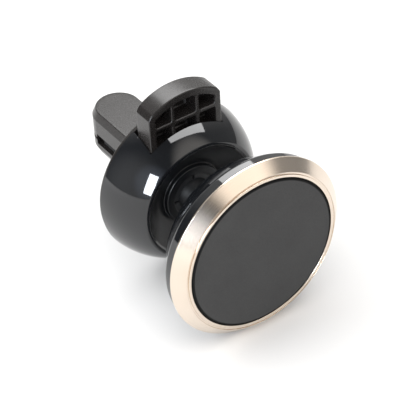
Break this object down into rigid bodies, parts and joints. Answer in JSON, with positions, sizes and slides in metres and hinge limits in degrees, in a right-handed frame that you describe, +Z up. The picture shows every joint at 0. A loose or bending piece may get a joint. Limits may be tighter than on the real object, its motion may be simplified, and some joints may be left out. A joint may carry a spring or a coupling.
{
  "type": "car phone mount",
  "caption": "Magnetic phone holder for an air vent: round pad with a bevelled ring on a ball joint, bowl-shaped body and a sprung two-jaw clip with a thumb lever.",
  "frame": {"origin": "middle of the clip's grip, between its two rubber pads, where the vent blade sits", "axes": "+Y along the clip's jaws, away from the phone; -Y out of the pad's face; +Z up, towards the thumb lever"},
  "size_m": [0.04, 0.0569, 0.0444],
  "materials": {
    "body_gloss": "high gloss, blue-black",
    "lever_plastic": "semi-gloss, warm black",
    "ring_gold": "pale gold anodised, turned",
    "pad_rubber": "matt, fine grain",
    "grip_rubber": "matt",
    "inner_plastic": "natural moulded",
    "pin_steel": "polished",
    "screw_steel": "zinc plated",
    "spring_steel": "drawn wire",
    "magnet_nickel": "nickel plated",
    "yoke_steel": "zinc plated",
    "adhesive_film": "tissue film"
  },
  "bodies": {
    "body": {"body_shell": "body_gloss", "clip_cover": "lever_plastic", "cover_screws": "screw_steel", "upper_pad": "grip_rubber", "pivot_pin": "pin_steel", "return_spring": "spring_steel", "seat_cup": "inner_plastic", "pressure_spring": "spring_steel", "seat_ring": "inner_plastic"},
    "lever": {"release_lever": "lever_plastic", "lower_pad": "grip_rubber"},
    "liner": {"swivel_liner": "inner_plastic"},
    "stud": {"ball_stud": "body_gloss", "stud_washer": "screw_steel", "stud_screw": "screw_steel"},
    "head": {"head_shell": "body_gloss", "trim_ring": "ring_gold", "face_pad": "pad_rubber", "pad_adhesive": "adhesive_film", "magnet_tray": "inner_plastic", "magnets": "magnet_nickel", "steel_yoke": "yoke_steel", "tray_screws": "screw_steel"}
  },
  "joints": [
    {"name": "lever_rock", "type": "hinge", "parent": "body", "child": "lever", "pos_m": [0, -0.0175, 0.0095], "axis": [-1, 0, 0], "range_deg": [0, 8], "stiffness_Nm_per_rad": 0.4, "springref_deg": -14.32, "deforming": ["return_spring"]},
    {"name": "ball_pan", "type": "hinge", "parent": "body", "child": "liner", "pos_m": [0, -0.021, 0], "axis": [0, 0, 1], "range_deg": [-18, 18]},
    {"name": "ball_tilt", "type": "hinge", "parent": "liner", "child": "stud", "pos_m": [0, -0.021, 0], "axis": [1, 0, 0], "range_deg": [-18, 18]},
    {"name": "head_spin", "type": "hinge", "parent": "stud", "child": "head", "pos_m": [0, -0.021, 0], "axis": [0, 1, 0], "continuous": true}
  ]
}
